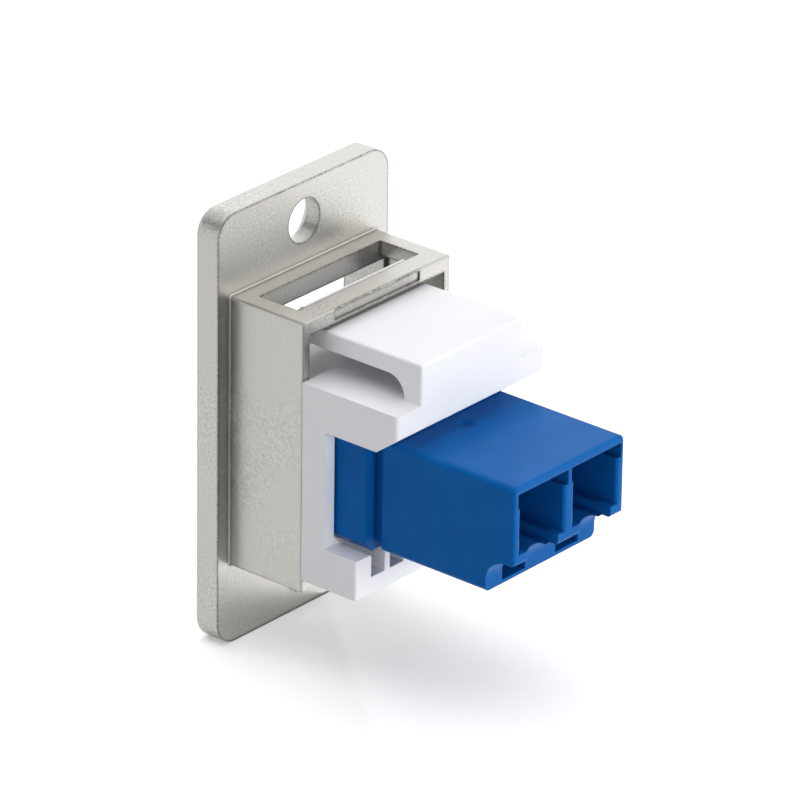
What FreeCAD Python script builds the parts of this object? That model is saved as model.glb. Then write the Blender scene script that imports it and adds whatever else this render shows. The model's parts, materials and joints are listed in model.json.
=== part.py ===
import FreeCAD, Part
import os
import re
import Sketcher

# Duplex LC fibre adapter, snapped with its keystone housing into a metal mounting frame.
#
# X runs across the flange, Z up along it, and Y is the direction in which the housing is pushed
# out to the rear. The origin is the centre of the flange's rear face, which seats on the panel.
# The plugs that face the user go in from the front (-Y), those of the installation from the rear (+Y).

os.makedirs("parts", exist_ok=True)
doc = FreeCAD.newDocument("lc_keystone_adapter")

# Driving dimensions in millimetres.
SIZES = {
    # flange
    "flange_width": 19.6,
    "flange_thickness": 2.4,
    "flange_corner": 2.0,
    "front_rounding": 0.5,
    "screw_hole": 3.6,
    "screw_spacing": 29.4,
    "screw_to_edge": 3.25,
    # box behind the flange
    "box_width": 17.0,
    "box_height": 22.5,
    "box_depth": 7.35,
    "box_edge": 0.2,
    "rim_edge": 0.15,
    "root_fillet": 0.15,
    "side_wall": 0.7,
    "top_wall": 1.2,
    "front_wall": 1.65,
    "opening_width": 14.9,
    "opening_height": 19.2,
    "window_width": 13.9,
    "catch_bar": 1.9,
    "gate_width": 9.8,
    "gate_height": 0.75,
    "gate_depth": 0.12,
    "gate_below_top": 0.15,
    # keystone housing
    "housing_play": 0.2,
    "housing_play_below": 0.1,
    "body_height": 14.9,
    "collar_width": 17.15,
    "jamb_depth": 2.25,
    "upper_ledge_rear": 16.7,
    "upper_ledge_thickness": 3.45,
    "undercut_depth": 2.05,
    "undercut_height": 1.55,
    "lower_ledge_rear": 12.8,
    "lower_ledge_thickness": 3.3,
    "upper_ledge_edge": 0.35,
    "lower_ledge_edge": 0.2,
    "shoulder_depth": 0.65,
    "seat_gusset": 0.7,
    "seat_play": 0.225,
    # latch arm and the fixed catch opposite
    "arm_width": 11.7,
    "arm_thickness": 1.5,
    "arm_root": 1.7,
    "arm_under_bar": 0.3,
    "arm_slot_radius": 1.6,
    "arm_edge": 0.2,
    "tooth_height": 1.25,
    "tooth_land": 0.5,
    "tooth_play": 0.1,
    "catch_length": 1.8,
    "catch_height": 1.35,
    # comb of slots in the lower ledge
    "comb_slots_a_side": 3,
    "comb_post": 1.77,
    "comb_slot_width": 1.57,
    "comb_rib_width": 0.6,
    "comb_floor": 1.4,
    "comb_length": 4.2,
    "comb_rounding": 0.25,
    # snap nib that holds the adapter
    "nib_width": 6.0,
    "nib_height": 0.4,
    "nib_land": 0.3,
    "nib_play": 0.1,
    # duplex adapter
    "adapter_wall": 0.4,
    "adapter_height": 9.35,
    "adapter_length": 28.7,
    "adapter_edge": 0.5,
    "end_rounding": 0.25,
    "adapter_play": 0.1,
    "port_axis": -0.2,
    "top_above_axis": 3.1,
    "port_pitch": 6.25,
    "port_width": 5.1,
    "port_height": 5.0,
    "headroom_width": 5.85,
    "headroom_height": 1.2,
    "mouth_rounding": 0.3,
    "rail_gap": 3.65,
    "rail_thickness": 0.85,
    "web_thickness": 4.0,
    "lip_setback": 2.7,
    "lip_sweep": 1.9,
    "lip_length": 3.0,
    "latch_slot": 2.7,
    "latch_pocket": 4.2,
    "latch_pocket_start": 1.0,
    "latch_floor": 0.3,
    "shell_collar_step": 0.75,
    "shell_collar_drop": 0.2,
    "shell_collar_chamfer": 0.8,
    "seam_offset": 0.55,
    "neck_length": 0.95,
    "neck_inset": 0.5,
    "gate_dimple": 1.45,
    "dimple_depth": 0.2,
    "dimple_from_seam": 3.8,
    # alignment sleeves and the tubes round them
    "sleeve_length": 6.8,
    "sleeve_outside": 1.62,
    "sleeve_bore": 1.25,
    "sleeve_slit": 0.3,
    "sleeve_play": 0.03,
    "sleeve_end_play": 0.05,
    "tube_outside": 2.7,
    "tube_stop": 0.5,
    "tube_mouth": 1.4,
    "tube_lead_in": 0.35,
    "spigot_length": 0.6,
    "spigot_play": 0.05,
    # how far an added form starts inside the one that carries it
    "rooted": 0.2,
}

# Places worked out from the driving dimensions.
PLACES = {
    "flange_height": "screw_spacing + 2 * screw_to_edge",
    "bar_front": "box_depth - catch_bar",
    "body_width": "opening_width - 2 * housing_play",
    "body_bottom": "housing_play_below - opening_height / 2",
    "body_top": "body_bottom + body_height",
    "adapter_width": "port_pitch + headroom_width + 2 * adapter_wall",
    "shell_collar_width": "adapter_width + 2 * shell_collar_step",
    "adapter_top": "port_axis + top_above_axis",
    "adapter_bottom": "adapter_top - adapter_height",
    "slot_top": "adapter_top + adapter_play",
    "slot_bottom": "adapter_bottom - shell_collar_drop - adapter_play",
    "upper_ledge_top": "slot_top + upper_ledge_thickness",
    "lower_ledge_bottom": "slot_bottom - lower_ledge_thickness",
    "jamb_rear": "box_depth + jamb_depth",
    "shoulder": "box_depth + shoulder_depth",
    "jamb_inside": "shell_collar_width / 2 + seat_play",
    "arm_top": "box_height / 2 - top_wall - arm_under_bar",
    "arm_bottom": "arm_top - arm_thickness",
    "arm_root_front": "upper_ledge_rear - arm_root",
    "tooth_rear": "bar_front - tooth_play",
    "tooth_front": "tooth_rear - tooth_land",
    "tooth_top": "arm_top + tooth_height",
    "arm_tip": "tooth_front - tooth_height - arm_thickness / 2",
    "catch_front": "tooth_rear - catch_length",
    "catch_bottom": "body_bottom - catch_height",
    "comb_bottom": "lower_ledge_bottom + comb_floor",
    "comb_pitch": "comb_slot_width + comb_rib_width",
    "middle": "adapter_length / 2 - flange_thickness",
    "seam": "middle + seam_offset",
    "dimple_radius": "dimple_depth / 2 + gate_dimple * gate_dimple / dimple_depth / 8",
    "nib_front": "seam + nib_play",
    "nib_rear": "seam + neck_length - nib_play",
    "half_length": "adapter_length / 2",
    "lip": "half_length - lip_setback",
    "lip_inside": "lip - lip_length",
    "shell_top": "top_above_axis",
    "shell_bottom": "top_above_axis - adapter_height",
    "port_top": "port_height / 2",
    "port_floor": "-port_height / 2",
    "rail_bottom": "port_floor - rail_thickness",
    "headroom_floor": "port_top - headroom_height",
    "latch_bottom": "shell_bottom + latch_floor",
    "web_face": "web_thickness / 2",
    "sleeve_pocket": "sleeve_length / 2 + sleeve_end_play",
    "tube_tip": "sleeve_pocket + tube_stop",
    "bore": "sleeve_outside + 2 * sleeve_play",
}

# Limits of the tests: two places that are one place, in millimetres; the least volume that a cut
# takes away, in cubic millimetres; and the cosine from which an edge runs along an axis.
SAME = 0.005
LEAST_CUT = 1e-4
PARALLEL = 0.999

sheet = doc.addObject("Spreadsheet::Sheet", "Sizes")
for row, (name, value) in enumerate(SIZES.items(), 1):
    sheet.set("A%d" % row, name)
    sheet.set("B%d" % row, str(value))
    sheet.setAlias("B%d" % row, name)
doc.recompute()


def sized(text):
    """The expression with every name turned into its cell or its place."""
    def full(found):
        name = found.group(0)
        if name in PLACES:
            return "(" + sized(PLACES[name]) + ")"
        return "Sizes." + name
    return re.sub(r"[a-z]\w*", full, text)


def number(text):
    return float(sheet.evalExpression(sized(text)))


def body_named(label):
    body = doc.addObject("PartDesign::Body", label)
    body.Label = label
    return body


def origin_plane(body, plane):
    return [f for f in body.Origin.OriginFeatures if f.Role == plane][0]


def sketch_on(body, name, plane, offset):
    """An empty sketch on the body's own plane: offset is its place along X, Y or Z."""
    sketch = body.newObject("Sketcher::SketchObject", name)
    sketch.AttachmentSupport = [(origin_plane(body, plane), "")]
    sketch.MapMode = "FlatFace"
    sign = "-" if plane == "XZ_Plane" else ""
    sketch.setExpression("AttachmentOffset.Base.z", sized("%s(%s)" % (sign, offset)))
    return sketch


def fix_point(sketch, geometry, end, across, up):
    for kind, text in (("DistanceX", across), ("DistanceY", up)):
        value = number(text)
        index = sketch.addConstraint(Sketcher.Constraint(kind, -1, 1, geometry, end, value))
        sketch.setExpression("Constraints[%d]" % index, sized(text))


def draw_outline(sketch, points):
    """A closed outline with straight sides through points (across, up)."""
    places = [FreeCAD.Vector(number(across), number(up), 0) for across, up in points]
    first = sketch.GeometryCount
    count = len(places)
    for i in range(count):
        sketch.addGeometry(Part.LineSegment(places[i], places[(i + 1) % count]), False)
    for i in range(count):
        after = first + (i + 1) % count
        sketch.addConstraint(Sketcher.Constraint("Coincident", first + i, 2, after, 1))
    for i, (across, up) in enumerate(points):
        fix_point(sketch, first + i, 1, across, up)


def draw_rectangle(sketch, left, right, bottom, top):
    draw_outline(sketch, [(left, bottom), (right, bottom), (right, top), (left, top)])


def draw_wide_rectangle(sketch, width, bottom, top):
    draw_rectangle(sketch, "-(%s) / 2" % width, "(%s) / 2" % width, bottom, top)


def draw_circle(sketch, across, up, diameter):
    centre = FreeCAD.Vector(number(across), number(up), 0)
    circle = Part.Circle(centre, FreeCAD.Vector(0, 0, 1), number(diameter) / 2)
    index = sketch.addGeometry(circle, False)
    fix_point(sketch, index, 3, across, up)
    size = Sketcher.Constraint("Diameter", index, number(diameter))
    bound = sketch.addConstraint(size)
    sketch.setExpression("Constraints[%d]" % bound, sized(diameter))


def pad(body, sketch, length, reverse=True, both_ways=False):
    """Material from the sketch: by default towards +Y from a section across the adapter."""
    feature = body.newObject("PartDesign::Pad", sketch.Name + "_pad")
    feature.Profile = sketch
    feature.Reversed = reverse and not both_ways
    if both_ways:
        feature.SideType = "Symmetric"
    feature.setExpression("Length", sized(length))
    doc.recompute()
    return feature


def pocket(body, sketch, length, reverse=False):
    """A cut from the sketch: by default towards +Y, or downwards from a level sketch."""
    before = body.Tip.Shape.Volume
    feature = body.newObject("PartDesign::Pocket", sketch.Name + "_cut")
    feature.Profile = sketch
    feature.Reversed = reverse
    feature.setExpression("Length", sized(length))
    doc.recompute()
    if before - feature.Shape.Volume < LEAST_CUT:
        raise RuntimeError(feature.Name + " cuts nothing")
    return feature


def near(value, text):
    return text is None or abs(value - number(text)) < SAME


def edges_along(feature, axis, x=None, y=None, z=None):
    """Names of the straight edges along an axis, by the place of their middle, the same on both sides."""
    names = []
    for i, edge in enumerate(feature.Shape.Edges, 1):
        if edge.Degenerated:
            continue
        start = edge.Vertexes[0].Point
        finish = edge.Vertexes[-1].Point
        run = finish - start
        if not isinstance(edge.Curve, Part.Line) or abs(run.dot(axis)) < PARALLEL * run.Length:
            continue
        middle = (start + finish) / 2
        if near(abs(middle.x), x) and near(middle.y, y) and near(middle.z, z):
            names.append("Edge%d" % i)
    return names


def edges_in_section(feature, y, width=None, height=None):
    """Names of the edges in one plane across the adapter, if asked within a rectangle at its middle."""
    half_width = number(width) / 2 + SAME if width else float("inf")
    half_height = number(height) / 2 + SAME if height else float("inf")
    names = []
    for i, edge in enumerate(feature.Shape.Edges, 1):
        box = edge.BoundBox
        inside = max(-box.XMin, box.XMax) < half_width and max(-box.ZMin, box.ZMax) < half_height
        if inside and near(box.YMin, y) and near(box.YMax, y):
            names.append("Edge%d" % i)
    return names


def dress(body, kind, name, edges, size):
    """A fillet or chamfer on the named edges of the body as it stands."""
    if not edges:
        raise RuntimeError(name + " finds no edge")
    base = body.Tip
    feature = body.newObject("PartDesign::" + kind, name)
    feature.Base = (base, edges)
    feature.setExpression("Radius" if kind == "Fillet" else "Size", sized(size))
    doc.recompute()
    return feature


def mirror(body, name, features):
    """The features again on the other side of the middle plane."""
    feature = body.newObject("PartDesign::Mirrored", name)
    feature.Originals = features
    feature.MirrorPlane = (origin_plane(body, "YZ_Plane"), [""])
    body.Tip = feature
    doc.recompute()
    return feature


X = FreeCAD.Vector(1, 0, 0)
Y = FreeCAD.Vector(0, 1, 0)
Z = FreeCAD.Vector(0, 0, 1)
SECTION = "XZ_Plane"
SIDE = "YZ_Plane"
LEVEL = "XY_Plane"


def make_mounting_frame():
    """Die-cast flange with a box behind it, open at both ends and windowed above and below."""
    body = body_named("mounting_frame")
    flange = sketch_on(body, "flange", SECTION, "-flange_thickness")
    draw_wide_rectangle(flange, "flange_width", "-flange_height / 2", "flange_height / 2")
    pad(body, flange, "flange_thickness")
    dress(body, "Fillet", "flange_corners", edges_along(body.Tip, Y), "flange_corner")
    front_rim = edges_in_section(body.Tip, "-flange_thickness")
    dress(body, "Fillet", "front_rounded", front_rim, "front_rounding")

    box = sketch_on(body, "box", SECTION, "-rooted")
    draw_wide_rectangle(box, "box_width", "-box_height / 2", "box_height / 2")
    pad(body, box, "box_depth + rooted")
    long_edges = edges_along(body.Tip, Y, x="box_width / 2")
    dress(body, "Fillet", "box_edges", long_edges, "box_edge")
    rim = edges_in_section(body.Tip, "box_depth")
    dress(body, "Fillet", "rim_rounded", rim, "rim_edge")
    root = edges_in_section(body.Tip, "0", "box_width", "box_height")
    dress(body, "Fillet", "box_root", root, "root_fillet")

    opening = sketch_on(body, "opening", SECTION, "-flange_thickness")
    draw_wide_rectangle(opening, "opening_width", "-opening_height / 2", "opening_height / 2")
    pocket(body, opening, "flange_thickness + box_depth")
    cavity = sketch_on(body, "cavity", SECTION, "front_wall")
    inside = "box_height / 2 - top_wall"
    draw_wide_rectangle(cavity, "box_width - 2 * side_wall", "-(%s)" % inside, inside)
    pocket(body, cavity, "box_depth - front_wall")

    windows = sketch_on(body, "windows", LEVEL, "box_height / 2")
    draw_wide_rectangle(windows, "window_width", "front_wall", "bar_front")
    pocket(body, windows, "box_height")

    gate = sketch_on(body, "gate_recess", SECTION, "box_depth - gate_depth")
    gate_top = "box_height / 2 - gate_below_top"
    draw_wide_rectangle(gate, "gate_width", gate_top + " - gate_height", gate_top)
    pocket(body, gate, "gate_depth")

    screws = sketch_on(body, "screw_holes", SECTION, "-flange_thickness")
    draw_circle(screws, "0", "screw_spacing / 2", "screw_hole")
    draw_circle(screws, "0", "-screw_spacing / 2", "screw_hole")
    pocket(body, screws, "flange_thickness")
    return body


def make_keystone_housing():
    """White moulding: C-shaped collar with two ledges, front body, latch arm and fixed catch."""
    body = body_named("keystone_housing")
    collar = sketch_on(body, "collar", SIDE, "0")
    draw_outline(collar, [
        ("box_depth", "upper_ledge_top"),
        ("upper_ledge_rear", "upper_ledge_top"),
        ("upper_ledge_rear", "slot_top + undercut_height"),
        ("upper_ledge_rear - undercut_depth", "slot_top"),
        ("jamb_rear", "slot_top"),
        ("jamb_rear", "slot_bottom"),
        ("lower_ledge_rear", "slot_bottom"),
        ("lower_ledge_rear", "lower_ledge_bottom"),
        ("box_depth", "lower_ledge_bottom"),
    ])
    pad(body, collar, "collar_width", both_ways=True)
    for ledge in ("upper_ledge", "lower_ledge"):
        corners = edges_along(body.Tip, Z, x="collar_width / 2", y=ledge + "_rear")
        dress(body, "Fillet", ledge + "_corners", corners, ledge + "_edge")

    front = sketch_on(body, "front_body", SECTION, "-flange_thickness")
    draw_wide_rectangle(front, "body_width", "body_bottom", "body_top")
    pad(body, front, "flange_thickness + shoulder")

    catch = sketch_on(body, "fixed_catch", SIDE, "0")
    draw_outline(catch, [
        ("catch_front", "body_bottom + rooted"),
        ("catch_front", "body_bottom"),
        ("catch_front + catch_height / 2", "catch_bottom"),
        ("tooth_rear", "catch_bottom"),
        ("tooth_rear", "body_bottom + rooted"),
    ])
    pad(body, catch, "arm_width", both_ways=True)

    arm = sketch_on(body, "latch_arm", SIDE, "0")
    draw_outline(arm, [
        ("arm_root_front", "upper_ledge_top - rooted"),
        ("upper_ledge_rear", "upper_ledge_top - rooted"),
        ("upper_ledge_rear", "arm_top"),
        ("tooth_rear", "arm_top"),
        ("tooth_rear", "tooth_top"),
        ("tooth_front", "tooth_top"),
        ("arm_tip", "arm_top - arm_thickness / 2"),
        ("arm_tip", "arm_bottom"),
        ("arm_root_front", "arm_bottom"),
    ])
    pad(body, arm, "arm_width", both_ways=True)
    bend = edges_along(body.Tip, X, y="arm_root_front", z="arm_bottom")
    dress(body, "Fillet", "arm_bend", bend, "arm_slot_radius")
    arm_edges = edges_along(body.Tip, Z, x="arm_width / 2", y="upper_ledge_rear")
    arm_edges += edges_along(body.Tip, X, y="upper_ledge_rear", z="arm_top")
    arm_edges += edges_along(body.Tip, Y, x="arm_width / 2", z="arm_top")
    dress(body, "Fillet", "arm_rounded", arm_edges, "arm_edge")

    hole = sketch_on(body, "adapter_hole", SECTION, "-flange_thickness")
    hole_bottom = "adapter_bottom - adapter_play"
    draw_wide_rectangle(hole, "adapter_width + 2 * adapter_play", hole_bottom, "slot_top")
    pocket(body, hole, "flange_thickness + jamb_rear")

    seat = sketch_on(body, "collar_seat", SECTION, "shoulder")
    draw_outline(seat, [
        ("-jamb_inside", "slot_bottom + seat_gusset"),
        ("seat_gusset - jamb_inside", "slot_bottom"),
        ("jamb_inside - seat_gusset", "slot_bottom"),
        ("jamb_inside", "slot_bottom + seat_gusset"),
        ("jamb_inside", "slot_top"),
        ("-jamb_inside", "slot_top"),
    ])
    pocket(body, seat, "jamb_rear - shoulder")

    comb = sketch_on(body, "comb", SECTION, "lower_ledge_rear")
    walls = []
    for i in range(int(number("comb_slots_a_side"))):
        outer = "(collar_width / 2 - comb_post - %d * comb_pitch)" % i
        inner = "(%s - comb_slot_width)" % outer
        walls += [outer, inner]
        draw_rectangle(comb, inner, outer, "comb_bottom", "slot_bottom + comb_rounding")
        draw_rectangle(comb, "-" + outer, "-" + inner, "comb_bottom", "slot_bottom + comb_rounding")
    pocket(body, comb, "comb_length", reverse=True)
    tops = []
    for wall in walls:
        tops += edges_along(body.Tip, Y, x=wall, z="slot_bottom")
    dress(body, "Fillet", "comb_rounded", tops, "comb_rounding")

    nib = sketch_on(body, "snap_nib", SIDE, "0")
    draw_outline(nib, [
        ("nib_front", "slot_top + rooted"),
        ("nib_front", "slot_top - nib_height"),
        ("nib_front + nib_land", "slot_top - nib_height"),
        ("nib_rear", "slot_top"),
        ("nib_rear", "slot_top + rooted"),
    ])
    pad(body, nib, "nib_width", both_ways=True)
    return body


def draw_under_port(sketch, width, bottom, top):
    """A rectangle about the middle of the port on the side of +X."""
    half = "%s / 2" % width
    draw_rectangle(sketch, "port_pitch / 2 - " + half, "port_pitch / 2 + " + half, bottom, top)


def make_shell(label, front):
    """Half of the adapter, from the seam outwards along +Y, with its ferrule axes at the height 0."""
    body = body_named(label)
    seam = "-seam_offset" if front else "seam_offset"
    outer_start = seam if front else "seam_offset + neck_length"

    block = sketch_on(body, label + "_block", SECTION, outer_start)
    draw_wide_rectangle(block, "adapter_width", "shell_bottom", "shell_top")
    pad(body, block, "half_length - (%s)" % outer_start)
    dress(body, "Fillet", label + "_long_edges", edges_along(body.Tip, Y), "adapter_edge")
    notch = sketch_on(body, label + "_notch", SECTION, "lip")
    draw_wide_rectangle(notch, "adapter_width", "shell_bottom", "rail_bottom")
    pocket(body, notch, "lip_setback")
    inner_corner = edges_along(body.Tip, X, y="lip", z="rail_bottom")
    dress(body, "Fillet", label + "_lip_sweep", inner_corner, "lip_sweep")
    end_rim = edges_in_section(body.Tip, "half_length")
    dress(body, "Fillet", label + "_end_rounded", end_rim, "end_rounding")

    if front:
        collar = sketch_on(body, "shell_collar", SECTION, seam)
        half = "shell_collar_width / 2"
        drop = "shell_bottom - shell_collar_drop"
        draw_outline(collar, [
            ("-" + half, drop + " + shell_collar_chamfer"),
            ("shell_collar_chamfer - " + half, drop),
            (half + " - shell_collar_chamfer", drop),
            (half, drop + " + shell_collar_chamfer"),
            (half, "shell_top"),
            ("-" + half, "shell_top"),
        ])
        pad(body, collar, "middle - shoulder + seam_offset")
    else:
        neck = sketch_on(body, "neck", SECTION, seam)
        draw_wide_rectangle(neck, "adapter_width - 2 * neck_inset",
                            "shell_bottom + neck_inset", "shell_top - neck_inset")
        pad(body, neck, "neck_length + rooted")

    port = sketch_on(body, label + "_port", SECTION, "web_face")
    centre = "port_pitch / 2"
    wide = "headroom_width / 2"
    narrow = "port_width / 2"
    draw_outline(port, [
        (centre + " - " + narrow, "port_floor"),
        (centre + " + " + narrow, "port_floor"),
        (centre + " + " + narrow, "headroom_floor"),
        (centre + " + " + wide, "headroom_floor"),
        (centre + " + " + wide, "port_top"),
        (centre + " - " + wide, "port_top"),
        (centre + " - " + wide, "headroom_floor"),
        (centre + " - " + narrow, "headroom_floor"),
    ])
    port_cut = pocket(body, port, "half_length - web_face")
    rails = sketch_on(body, label + "_rail_gap", SECTION, "web_face")
    draw_under_port(rails, "rail_gap", "rail_bottom", "port_floor")
    rail_cut = pocket(body, rails, "half_length - web_face")
    latch = sketch_on(body, label + "_latch_slot", SECTION, "lip_inside")
    draw_under_port(latch, "latch_slot", "latch_bottom", "rail_bottom")
    latch_cut = pocket(body, latch, "half_length - lip_inside")
    room = sketch_on(body, label + "_latch_pocket", SECTION, "web_face + latch_pocket_start")
    draw_under_port(room, "latch_pocket", "latch_bottom", "rail_bottom")
    room_cut = pocket(body, room, "lip_inside - web_face - latch_pocket_start")
    mirror(body, label + "_second_port", [port_cut, rail_cut, latch_cut, room_cut])
    mouth = []
    for side in (" - ", " + "):
        mouth += edges_along(body.Tip, Z, x=centre + side + narrow, y="half_length")
    dress(body, "Fillet", label + "_mouth_rounded", mouth, "mouth_rounding")

    tube = sketch_on(body, label + "_tubes", SECTION, "web_face - rooted")
    draw_circle(tube, "port_pitch / 2", "0", "tube_outside")
    draw_circle(tube, "-port_pitch / 2", "0", "tube_outside")
    pad(body, tube, "tube_tip - web_face + rooted")
    if not front:
        spigot = sketch_on(body, "spigots", SECTION, "seam_offset - spigot_length")
        draw_circle(spigot, "port_pitch / 2", "0", "tube_outside")
        draw_circle(spigot, "-port_pitch / 2", "0", "tube_outside")
        pad(body, spigot, "spigot_length + rooted")
    bore = sketch_on(body, label + "_bore", SIDE, "port_pitch / 2")
    bore_start = "-seam_offset - spigot_length"
    draw_outline(bore, [
        (bore_start, "0"),
        ("tube_tip", "0"),
        ("tube_tip", "tube_mouth / 2 + tube_lead_in"),
        ("sleeve_pocket", "tube_mouth / 2"),
        ("sleeve_pocket", "bore / 2"),
        (bore_start, "bore / 2"),
    ])
    turned = body.newObject("PartDesign::Groove", label + "_turned_bore")
    turned.Profile = bore
    turned.ReferenceAxis = (bore, ["H_Axis"])
    turned.Angle = 360
    doc.recompute()
    mirror(body, label + "_second_bore", [turned])
    if front:
        socket = sketch_on(body, "sockets", SECTION, seam)
        draw_circle(socket, "port_pitch / 2", "0", "tube_outside + 2 * spigot_play")
        draw_circle(socket, "-port_pitch / 2", "0", "tube_outside + 2 * spigot_play")
        pocket(body, socket, "spigot_length + spigot_play")
    else:
        dimple = body.newObject("PartDesign::SubtractiveSphere", "gate_dimple")
        dimple.setExpression("Radius", sized("dimple_radius"))
        dimple.setExpression("AttachmentOffset.Base.y", sized("seam_offset + dimple_from_seam"))
        dimple.setExpression("AttachmentOffset.Base.z", sized("shell_top + dimple_radius - dimple_depth"))
        dimple.AttachmentSupport = [(origin_plane(body, LEVEL), "")]
        dimple.MapMode = "FlatFace"
        doc.recompute()

    body.setExpression("Placement.Base.y", sized("middle"))
    body.setExpression("Placement.Base.z", sized("port_axis"))
    if front:
        body.setExpression("Placement.Rotation.Angle", "180")
    return body


def make_sleeve(label, side):
    """Split ceramic sleeve, a tube with one slit along it."""
    body = body_named(label)
    ring = sketch_on(body, label + "_ring", SECTION, "-sleeve_length / 2")
    draw_circle(ring, "0", "0", "sleeve_outside")
    draw_circle(ring, "0", "0", "sleeve_bore")
    pad(body, ring, "sleeve_length")
    slit = sketch_on(body, label + "_slit", SECTION, "-sleeve_length / 2")
    draw_wide_rectangle(slit, "sleeve_slit", "0", "sleeve_outside")
    pocket(body, slit, "sleeve_length")
    body.setExpression("Placement.Base.x", sized("%s port_pitch / 2" % side))
    body.setExpression("Placement.Base.y", sized("middle"))
    body.setExpression("Placement.Base.z", sized("port_axis"))
    return body


parts = [
    make_mounting_frame(),
    make_keystone_housing(),
    make_shell("front_shell", front=True),
    make_shell("rear_shell", front=False),
    make_sleeve("sleeve_left", "-"),
    make_sleeve("sleeve_right", "+"),
]
doc.recompute()

for thing in doc.Objects:
    if "Invalid" in thing.State or "Error" in thing.State:
        raise RuntimeError(thing.Name + " failed: " + str(thing.State))
for part in parts:
    if part.Shape.isNull() or not part.Shape.isValid() or len(part.Shape.Solids) != 1:
        raise RuntimeError(part.Label + " has no single valid solid")
for part in parts:
    part.Shape.exportStep("parts/" + part.Label + ".step")
    print(part.Label, round(part.Shape.Volume, 2), part.Shape.BoundBox)
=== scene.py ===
import json
import math

import bmesh
import bpy
from mathutils import Matrix, Vector

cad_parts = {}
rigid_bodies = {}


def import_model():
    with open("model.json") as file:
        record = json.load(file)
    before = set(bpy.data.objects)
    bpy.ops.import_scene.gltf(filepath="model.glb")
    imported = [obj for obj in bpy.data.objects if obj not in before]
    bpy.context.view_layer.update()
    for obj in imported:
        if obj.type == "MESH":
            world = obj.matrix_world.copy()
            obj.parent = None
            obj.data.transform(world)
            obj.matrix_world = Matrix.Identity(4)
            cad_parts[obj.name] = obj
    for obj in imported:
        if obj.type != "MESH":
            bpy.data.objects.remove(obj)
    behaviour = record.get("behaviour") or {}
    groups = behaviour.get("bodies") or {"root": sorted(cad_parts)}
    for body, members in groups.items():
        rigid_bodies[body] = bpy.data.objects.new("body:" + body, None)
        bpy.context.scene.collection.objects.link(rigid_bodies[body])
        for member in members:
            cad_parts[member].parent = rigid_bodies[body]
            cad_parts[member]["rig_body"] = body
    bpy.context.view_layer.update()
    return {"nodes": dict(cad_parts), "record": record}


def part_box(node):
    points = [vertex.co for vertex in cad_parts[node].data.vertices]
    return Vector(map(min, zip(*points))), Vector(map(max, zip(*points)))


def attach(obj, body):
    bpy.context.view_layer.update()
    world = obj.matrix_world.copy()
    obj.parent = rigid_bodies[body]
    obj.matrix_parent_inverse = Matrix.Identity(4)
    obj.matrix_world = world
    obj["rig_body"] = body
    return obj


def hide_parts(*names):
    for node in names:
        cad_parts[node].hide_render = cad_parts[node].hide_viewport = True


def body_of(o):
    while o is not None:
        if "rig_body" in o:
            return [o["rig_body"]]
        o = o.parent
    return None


# A duplex LC fibre adapter in its white keystone housing and nickel-plated mounting frame.
# X runs across the flange, Z up along it, and Y out of the rear. Lengths are in metres.

MM = 0.001

# The camera of the photograph.
AZIMUTH = math.radians(130.02)
ELEVATION = math.radians(25.17)
ROLL = math.radians(-0.782)
DISTANCE = 550.4 * MM
TARGET = Vector((2.75, 12.0, 4.43)) * MM
SENSOR = 36.0
FOCAL_PIXELS = 7337.0
IMAGE_PIXELS = 800.0

# A mix node's colour sockets, which share their names with its other sockets.
FIRST_COLOUR = 6
SECOND_COLOUR = 7
MIXED_COLOUR = 2

# Rays that look for softened edges, and for surface close by.
ROUNDING_SAMPLES = 6
NEARNESS_SAMPLES = 8

# Openness from which a place counts as away from any edge, and its fall to a place fully on one.
MOST_OPEN = 0.95
EDGE_FALL = 0.4

# The countersinks of the flange's screw holes, and how far their cutters reach past both ends.
COUNTERSINK_RADIUS = 2.85 * MM
CUTTER_REACH = 0.1 * MM
CUTTER_SIDES = 64

# Points nearer than this are one point, and faces that meet at more than this angle meet in an edge.
WELD = 0.001 * MM
SHARP_ANGLE = math.radians(25)

# How firmly the largest face at a corner sets the normal there, from 1 to 100.
LARGE_FACE_WEIGHT = 100

# The studio: its even light, the floor's size, greys and glow, and how far away the high cards are.
WHITE = (1.0, 1.0, 1.0, 1.0)
MATT = 0.9
AMBIENT = 0.08
FLOOR_SIZE = 3.0
FLOOR_GREY = (0.92, 0.92, 0.92, 1.0)
BOUNCE_GREY = (0.6, 0.6, 0.6, 1.0)
REFLECTED_GLOW = 0.1
CAMERA_GLOW = 0.3
CARD_DISTANCE = 300 * MM


def new_material(name):
    """An empty node material with its output, and the shader that feeds it."""
    material = bpy.data.materials.new(name)
    material.use_nodes = True
    nodes = material.node_tree.nodes
    nodes.clear()
    output = nodes.new("ShaderNodeOutputMaterial")
    shader = nodes.new("ShaderNodeBsdfPrincipled")
    material.node_tree.links.new(shader.outputs["BSDF"], output.inputs["Surface"])
    return material, shader


def add(material, kind, settings=None, inputs=None):
    """A node with its settings and its inputs: a value is set, and a socket is linked."""
    node = material.node_tree.nodes.new(kind)
    for name, value in (settings or {}).items():
        setattr(node, name, value)
    for name, value in (inputs or {}).items():
        if isinstance(value, bpy.types.NodeSocket):
            material.node_tree.links.new(value, node.inputs[name])
        else:
            node.inputs[name].default_value = value
    return node


def link(material, source, target):
    """Join one node's output to another's input."""
    material.node_tree.links.new(source, target)


def noise(material, size, detail=2.0, roughness=0.5):
    """Noise in the object's own space, with grains of about the given size in millimetres."""
    where = add(material, "ShaderNodeTexCoord").outputs["Object"]
    inputs = {"Vector": where, "Scale": 1.0 / (size * MM), "Detail": detail, "Roughness": roughness}
    return add(material, "ShaderNodeTexNoise", inputs=inputs).outputs["Fac"]


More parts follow.
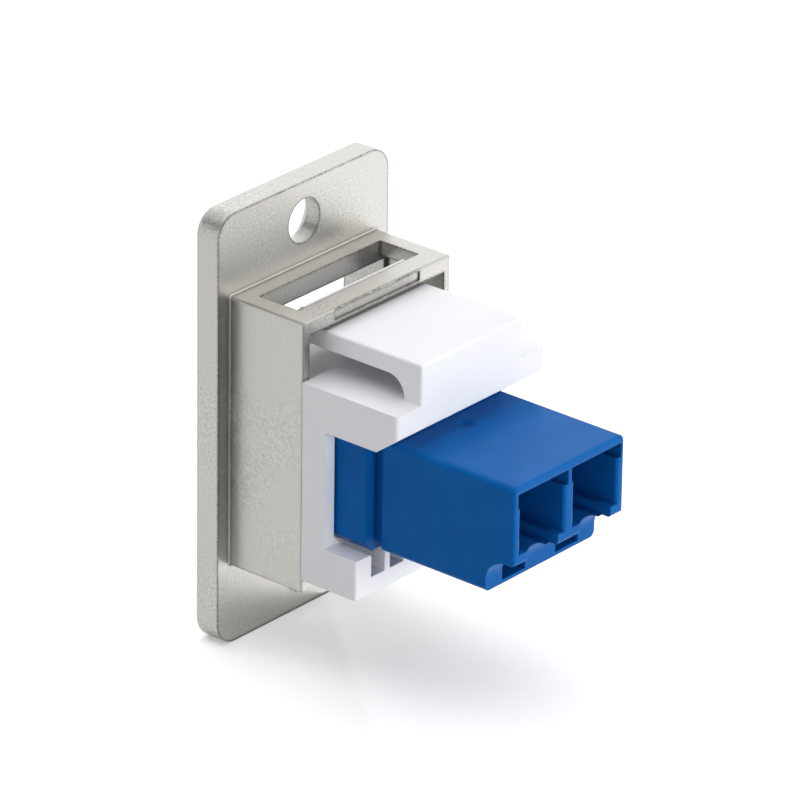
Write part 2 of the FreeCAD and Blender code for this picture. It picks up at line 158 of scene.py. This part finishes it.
def spread(material, value, low, high, low_from=0.3, high_from=0.7):
    """A value stretched from its own limits, those of noise if none are given, to new ones."""
    inputs = {
        "Value": value,
        "From Min": low_from,
        "From Max": high_from,
        "To Min": low,
        "To Max": high,
    }
    return add(material, "ShaderNodeMapRange", inputs=inputs).outputs["Result"]


def mix_colours(material, amount, first, second):
    """The first colour at 0 and the second at 1, each a plain colour or a socket."""
    node = add(material, "ShaderNodeMix", {"data_type": "RGBA"}, {"Factor": amount})
    for colour, socket in ((first, node.inputs[FIRST_COLOUR]), (second, node.inputs[SECOND_COLOUR])):
        if isinstance(colour, tuple):
            socket.default_value = colour + (1.0,)
        else:
            link(material, colour, socket)
    return node.outputs[MIXED_COLOUR]


def rounded_normal(material, radius):
    """The surface normal with its edges softened by a small radius in millimetres."""
    inputs = {"Radius": radius * MM}
    return add(material, "ShaderNodeBevel", {"samples": ROUNDING_SAMPLES}, inputs).outputs["Normal"]


def bump(material, height, distance, normal, strength=1.0):
    """A bump of the given depth in millimetres over another normal."""
    inputs = {"Height": height, "Distance": distance * MM, "Strength": strength, "Normal": normal}
    return add(material, "ShaderNodeBump", inputs=inputs).outputs["Normal"]


def close_by(material, inside, reach):
    """1 at an edge, seen from inside the solid, or at a root, seen from outside, and 0 in the open.

    The reach is in millimetres.
    """
    inputs = {"Distance": reach * MM}
    settings = {"inside": inside, "samples": NEARNESS_SAMPLES}
    around = add(material, "ShaderNodeAmbientOcclusion", settings, inputs)
    return spread(material, around.outputs["AO"], 1.0, 0.0, MOST_OPEN - EDGE_FALL, MOST_OPEN)


def product(material, first, second):
    """Two values multiplied."""
    node = add(material, "ShaderNodeMath", {"operation": "MULTIPLY"})
    link(material, first, node.inputs[0])
    link(material, second, node.inputs[1])
    return node.outputs["Value"]


def nickel_material():
    """Satin nickel on a die-casting: a sparkling grain, clearer in patches, with painted shade in its roots
    and a painted dark reflection along its edges.
    """
    material, shader = new_material("nickel_plate")
    grain = noise(material, 0.2, 3.0, 0.75)
    patches = spread(material, noise(material, 7.0, 2.0), 0.2, 1.0, 0.4, 0.6)
    rough = mix_colours(material, spread(material, grain, 0.0, 1.0), (0.36, 0.35, 0.33), (0.68, 0.67, 0.635))
    colour = mix_colours(material, patches, (0.52, 0.51, 0.48), rough)
    # Painted shade: the roots, where other surface lies close outside, are darkened to a deep grey.
    root = mix_colours(material, close_by(material, False, 0.4), colour, (0.22, 0.215, 0.20))
    # Painted dark reflection: convex edges are darkened towards near black, broken up by the grain.
    painted_edge_reflection = product(material, close_by(material, True, 0.23), spread(material, grain, 0.2, 1.0, 0.4, 0.6))
    link(material, mix_colours(material, painted_edge_reflection, root, (0.06, 0.057, 0.05)), shader.inputs["Base Color"])
    shader.inputs["Metallic"].default_value = 1.0
    link(material, spread(material, grain, 0.30, 0.42), shader.inputs["Roughness"])
    normal = bump(material, grain, 0.03, rounded_normal(material, 0.05), patches)
    link(material, normal, shader.inputs["Normal"])
    return material


def white_material():
    """Satin white moulding with hardly any grain."""
    material, shader = new_material("white_plastic")
    clouds = spread(material, noise(material, 4.0, 2.0), 0.0, 1.0)
    grain = noise(material, 0.25, 2.0)
    colour = mix_colours(material, clouds, (0.83, 0.83, 0.865), (0.85, 0.85, 0.88))
    link(material, colour, shader.inputs["Base Color"])
    link(material, spread(material, grain, 0.38, 0.46), shader.inputs["Roughness"])
    normal = bump(material, grain, 0.002, rounded_normal(material, 0.1))
    link(material, normal, shader.inputs["Normal"])
    return material


def blue_material():
    """Semi-gloss blue moulding."""
    material, shader = new_material("blue_plastic")
    clouds = spread(material, noise(material, 3.0, 2.0), 0.0, 1.0)
    grain = noise(material, 0.4, 2.0)
    colour = mix_colours(material, clouds, (0.003, 0.105, 0.375), (0.004, 0.118, 0.41))
    link(material, colour, shader.inputs["Base Color"])
    shader.inputs["Specular IOR Level"].default_value = 0.05
    link(material, spread(material, grain, 0.22, 0.26), shader.inputs["Roughness"])
    normal = bump(material, grain, 0.0005, rounded_normal(material, 0.18))
    link(material, normal, shader.inputs["Normal"])
    return material


def ceramic_material():
    """Polished zirconia."""
    material, shader = new_material("sleeve_ceramic")
    clouds = spread(material, noise(material, 1.0, 2.0), 0.0, 1.0)
    colour = mix_colours(material, clouds, (0.80, 0.78, 0.72), (0.86, 0.84, 0.78))
    link(material, colour, shader.inputs["Base Color"])
    shader.inputs["Roughness"].default_value = 0.15
    link(material, rounded_normal(material, 0.03), shader.inputs["Normal"])
    return material


def cone(place, length, front_radius, rear_radius, sides=CUTTER_SIDES):
    """A closed cone along Y, from its wider front at the given place."""
    mesh = bpy.data.meshes.new("cutter")
    rings = ((0.0, front_radius), (length, rear_radius))
    points = []
    for along, radius in rings:
        for i in range(sides):
            turn = 2 * math.pi * i / sides
            points.append(place + Vector((radius * math.cos(turn), along, radius * math.sin(turn))))
    faces = [tuple(range(sides)), tuple(reversed(range(sides, 2 * sides)))]
    faces += [(i, sides + i, sides + (i + 1) % sides, (i + 1) % sides) for i in range(sides)]
    mesh.from_pydata(points, [], faces)
    piece = bpy.data.objects.new("cutter", mesh)
    bpy.context.scene.collection.objects.link(piece)
    return piece


def welded(mesh):
    """A copy of a mesh whose faces share their corner points."""
    work = bmesh.new()
    work.from_mesh(mesh)
    bmesh.ops.remove_doubles(work, verts=work.verts, dist=WELD)
    whole = bpy.data.meshes.new(mesh.name)
    work.to_mesh(whole)
    work.free()
    return whole


def mark_sharp_edges(mesh):
    """Smooth every face of a mesh, and keep the edges between faces that turn sharply."""
    work = bmesh.new()
    work.from_mesh(mesh)
    for face in work.faces:
        face.smooth = True
    for edge in work.edges:
        edge.smooth = edge.calc_face_angle(0.0) < SHARP_ANGLE
    work.to_mesh(mesh)
    work.free()


def apply_modifiers(piece):
    """Give a piece the mesh that its modifiers make of it."""
    bpy.context.view_layer.update()
    whole = piece.evaluated_get(bpy.context.evaluated_depsgraph_get())
    mesh = bpy.data.meshes.new_from_object(whole)
    piece.modifiers.clear()
    piece.data = mesh


def countersunk(node, spacing, hole_radius):
    """The frame again, with both screw holes countersunk in the flange's front."""
    piece = bpy.data.objects.new("mounting_frame_countersunk", welded(node.data))
    piece.matrix_world = node.matrix_world.copy()
    bpy.context.scene.collection.objects.link(piece)
    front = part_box("mounting_frame")[0].y
    front_radius = COUNTERSINK_RADIUS + CUTTER_REACH
    rear_radius = hole_radius - CUTTER_REACH
    cutters = []
    for side in (-1, 1):
        place = Vector((0.0, front - CUTTER_REACH, side * spacing / 2))
        cutters.append(cone(place, front_radius - rear_radius, front_radius, rear_radius))
        cut = piece.modifiers.new("countersink", "BOOLEAN")
        cut.operation = "DIFFERENCE"
        cut.solver = "EXACT"
        cut.object = cutters[-1]
    apply_modifiers(piece)
    for cutter in cutters:
        bpy.data.objects.remove(cutter)
    mark_sharp_edges(piece.data)
    flat = piece.modifiers.new("flat_faces", "WEIGHTED_NORMAL")
    flat.keep_sharp = True
    flat.weight = LARGE_FACE_WEIGHT
    apply_modifiers(piece)
    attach(piece, body_of(node)[0])
    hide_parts("mounting_frame")
    return piece


def dress(node, material):
    """Give a piece one material."""
    node.data.materials.clear()
    node.data.materials.append(material)


def make_camera():
    """The camera of the photograph, from its direction, its distance and its roll."""
    across = Vector((math.cos(AZIMUTH), math.sin(AZIMUTH), 0.0))
    back = Vector((
        math.sin(AZIMUTH) * math.cos(ELEVATION),
        -math.cos(AZIMUTH) * math.cos(ELEVATION),
        math.sin(ELEVATION),
    ))
    up = back.cross(across)
    right = across * math.cos(ROLL) - up * math.sin(ROLL)
    top = across * math.sin(ROLL) + up * math.cos(ROLL)
    camera_data = bpy.data.cameras.new("photo_camera")
    camera_data.sensor_width = SENSOR
    camera_data.lens = FOCAL_PIXELS / IMAGE_PIXELS * SENSOR
    camera_data.clip_start = 0.01
    camera_data.clip_end = 10.0
    camera = bpy.data.objects.new("photo_camera", camera_data)
    camera.matrix_world = Matrix((
        (right.x, top.x, back.x, 0.0),
        (right.y, top.y, back.y, 0.0),
        (right.z, top.z, back.z, 0.0),
        (0.0, 0.0, 0.0, 1.0),
    ))
    camera.location = TARGET + back * DISTANCE
    bpy.context.scene.collection.objects.link(camera)
    bpy.context.scene.camera = camera


def softbox(name, direction, distance, width, height, level):
    """A flat area light from a direction, which no reflection shows.

    At level 1 it alone shows a facing surface about as it is coloured.
    """
    light = bpy.data.lights.new(name, "AREA")
    light.shape = "RECTANGLE"
    light.size = width
    light.size_y = height
    light.energy = level * (math.pi * distance) ** 2
    lamp = bpy.data.objects.new(name, light)
    back = Vector(direction).normalized()
    lamp.location = TARGET + back * distance
    lamp.rotation_euler = back.to_track_quat("Z", "Y").to_euler()
    lamp.visible_glossy = False
    bpy.context.scene.collection.objects.link(lamp)


def make_lights():
    """A large softbox overhead, a long low one on the port side, and a weak one on the left."""
    softbox("top_light", (-0.1, -0.2, 1.0), 0.6, 1.0, 1.0, 1.65)
    softbox("port_light", (-0.1, 1.0, 0.12), 0.4, 0.5, 0.12, 0.86)
    softbox("left_light", (1.0, 0.1, 0.1), 0.4, 0.5, 0.1, 0.13)


def card(name, corners, shade, glow):
    """A card of the studio that only reflections show, with its grey and the light it gives off."""
    mesh = bpy.data.meshes.new(name)
    mesh.from_pydata(corners, [], [(0, 1, 2, 3)])
    piece = bpy.data.objects.new(name, mesh)
    bpy.context.scene.collection.objects.link(piece)
    material, shader = new_material(name)
    shader.inputs["Base Color"].default_value = (shade, shade, shade, 1.0)
    shader.inputs["Roughness"].default_value = MATT
    shader.inputs["Emission Color"].default_value = WHITE
    shader.inputs["Emission Strength"].default_value = glow
    mesh.materials.append(material)
    piece.visible_camera = False
    piece.visible_diffuse = False
    piece.visible_shadow = False


def floor_card(name, direction, start, finish, near, far, height, shade, glow):
    """A card flat at a height, from its start to its finish, with the half widths of both ends.

    All but the height are in millimetres.
    """
    out = Vector(direction).normalized()
    across = Vector((-out.y, out.x, 0.0))
    lift = Vector((0.0, 0.0, height))
    ends = ((start, -near), (finish, -far), (finish, far), (start, near))
    corners = [out * along * MM + across * side * MM + lift for along, side in ends]
    card(name, corners, shade, glow)


def high_card(name, direction, half, shade, glow):
    """A square card that faces the object from a direction, with its half width in millimetres."""
    back = Vector(direction).normalized()
    turn = back.to_track_quat("Z", "Y")
    corners = []
    for x, y in ((-half, -half), (half, -half), (half, half), (-half, half)):
        corners.append(TARGET + back * CARD_DISTANCE + turn @ Vector((x, y, 0.0)) * MM)
    card(name, corners, shade, glow)


def make_cards(floor):
    """Two dark cards and three pale ones, which give glossy sides their darker and lighter parts."""
    floor_card("dark_floor_card", (1.0, 1.0, 0.0), 25, 160, 22, 55, floor + 0.1 * MM, 0.03, 0.0)
    floor_card("pale_floor_card", (-0.75, 0.62, 0.0), 2, 150, 30, 90, floor + 0.2 * MM, 0.3, 1.3)
    high_card("dark_high_card", (0.56, -0.58, 0.6), 75, 0.03, 0.0)
    high_card("pale_front_card", (-0.693, -0.582, 0.425), 130, 0.1, 1.45)
    high_card("pale_rear_card", (-0.693, 0.582, 0.425), 110, 0.1, 2.0)


def strongest(tree, outputs):
    """The largest of several values."""
    value = outputs[0]
    for other in outputs[1:]:
        node = tree.nodes.new("ShaderNodeMath")
        node.operation = "MAXIMUM"
        tree.links.new(value, node.inputs[0])
        tree.links.new(other, node.inputs[1])
        value = node.outputs["Value"]
    return value


def seen_ray(tree):
    """1 for a ray from the camera, off a glossy surface or through glass, and 0 for any other."""
    path = tree.nodes.new("ShaderNodeLightPath")
    kinds = ("Is Camera Ray", "Is Glossy Ray", "Is Transmission Ray")
    return strongest(tree, [path.outputs[kind] for kind in kinds])


def make_world():
    """Even light all round, and plain white where the camera or a reflection looks past the object."""
    world = bpy.data.worlds.new("studio")
    bpy.context.scene.world = world
    world.use_nodes = True
    nodes = world.node_tree.nodes
    nodes.clear()
    output = nodes.new("ShaderNodeOutputWorld")
    seen = nodes.new("ShaderNodeBackground")
    light = nodes.new("ShaderNodeBackground")
    light.inputs["Strength"].default_value = AMBIENT
    mix = nodes.new("ShaderNodeMixShader")
    links = world.node_tree.links
    links.new(seen_ray(world.node_tree), mix.inputs["Fac"])
    links.new(light.outputs["Background"], mix.inputs[1])
    links.new(seen.outputs["Background"], mix.inputs[2])
    links.new(mix.outputs["Shader"], output.inputs["Surface"])
    light.inputs["Color"].default_value = WHITE
    seen.inputs["Color"].default_value = WHITE


def make_floor(height):
    """A wide pale floor that shows white round the object and keeps its shadow."""
    mesh = bpy.data.meshes.new("floor")
    half = FLOOR_SIZE / 2
    corners = [(-half, -half, height), (half, -half, height), (half, half, height), (-half, half, height)]
    mesh.from_pydata(corners, [], [(0, 1, 2, 3)])
    floor = bpy.data.objects.new("floor", mesh)
    bpy.context.scene.collection.objects.link(floor)
    material, shader = new_material("floor")
    output = [n for n in material.node_tree.nodes if n.type == "OUTPUT_MATERIAL"][0]
    shader.inputs["Base Color"].default_value = FLOOR_GREY
    shader.inputs["Roughness"].default_value = MATT
    path = add(material, "ShaderNodeLightPath")
    strength = spread(material, path.outputs["Is Camera Ray"], REFLECTED_GLOW, CAMERA_GLOW, 0.0, 1.0)
    glow = add(material, "ShaderNodeEmission", inputs={"Color": WHITE, "Strength": strength})
    both = add(material, "ShaderNodeAddShader")
    link(material, shader.outputs["BSDF"], both.inputs[0])
    link(material, glow.outputs["Emission"], both.inputs[1])
    bounce = add(material, "ShaderNodeBsdfDiffuse", inputs={"Color": BOUNCE_GREY})
    mix = add(material, "ShaderNodeMixShader")
    link(material, seen_ray(material.node_tree), mix.inputs["Fac"])
    link(material, bounce.outputs["BSDF"], mix.inputs[1])
    link(material, both.outputs["Shader"], mix.inputs[2])
    link(material, mix.outputs["Shader"], output.inputs["Surface"])
    mesh.materials.append(material)


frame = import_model()
nodes = frame["nodes"]

nickel = nickel_material()
white = white_material()
blue = blue_material()
ceramic = ceramic_material()
screws = [m for m in frame["record"]["mounts"] if m["name"] == "flange_screws"][0]["dims"]
dress(nodes["mounting_frame"], nickel)
dress(countersunk(nodes["mounting_frame"], screws["spacing_y_mm"] * MM, screws["hole_r_mm"] * MM), nickel)
dress(nodes["keystone_housing"], white)
dress(nodes["front_shell"], blue)
dress(nodes["rear_shell"], blue)
dress(nodes["sleeve_left"], ceramic)
dress(nodes["sleeve_right"], ceramic)

make_camera()
make_lights()
make_world()
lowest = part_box("mounting_frame")[0].z
make_floor(lowest)
make_cards(lowest)

bpy.context.scene.view_settings.view_transform = "Standard"
